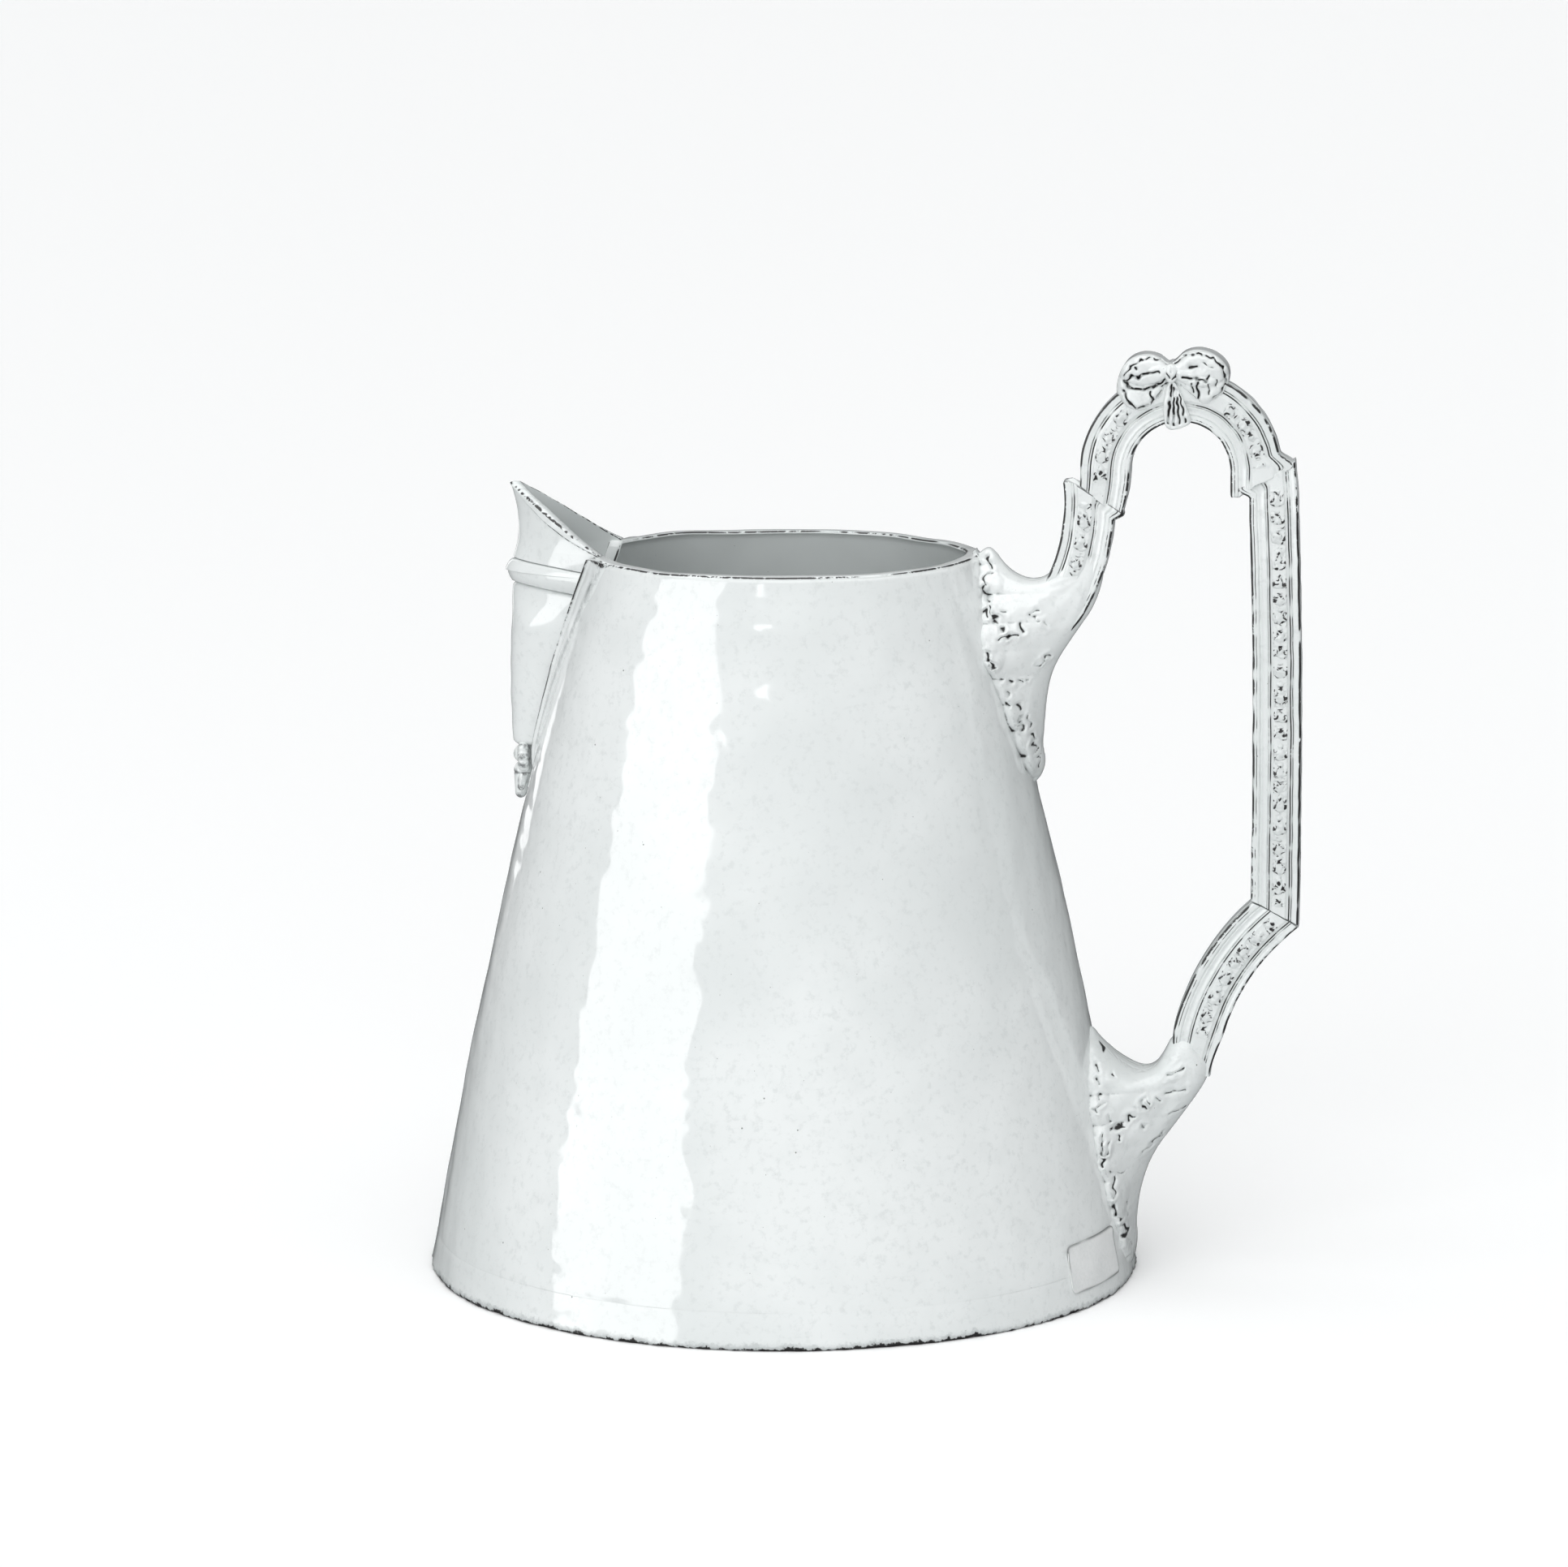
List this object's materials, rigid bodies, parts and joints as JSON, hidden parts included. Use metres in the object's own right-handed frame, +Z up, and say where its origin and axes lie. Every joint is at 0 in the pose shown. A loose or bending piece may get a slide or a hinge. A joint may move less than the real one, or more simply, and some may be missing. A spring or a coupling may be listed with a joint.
{
  "type": "pitcher",
  "caption": "Tall tapering glazed pitcher with a folded spout and a moulded loop handle topped by a ribbon bow.",
  "frame": {"origin": "centre of the foot, on the surface the pitcher stands on", "axes": "+Z up along the body's axis; +X from the axis towards the handle, -X towards the spout; +Y completes a right-handed frame"},
  "size_m": [0.2298, 0.188, 0.244],
  "materials": {
    "glaze": "gloss",
    "glaze_relief": "gloss",
    "label_paper": "matte"
  },
  "bodies": {
    "root": {"base_dish": "glaze", "body_wall": "glaze", "spout_trough": "glaze", "spout_roll": "glaze", "spout_lip": "glaze", "spout_strap_front": "glaze", "spout_strap_back": "glaze", "spout_rosette": "glaze_relief", "spout_drop": "glaze_relief", "upper_root": "glaze_relief", "handle_neck": "glaze_relief", "handle_arch": "glaze_relief", "handle_rail": "glaze_relief", "lower_scroll": "glaze_relief", "lower_root": "glaze_relief", "bow_loop_left": "glaze_relief", "bow_loop_right": "glaze_relief", "bow_knot": "glaze_relief", "bow_tassel_front": "glaze_relief", "bow_tassel_back": "glaze_relief", "neck_husks": "glaze_relief", "arch_husks": "glaze_relief", "rail_husks_front": "glaze_relief", "rail_husks_back": "glaze_relief", "scroll_husks": "glaze_relief", "maker_label": "label_paper"}
  },
  "joints": []
}
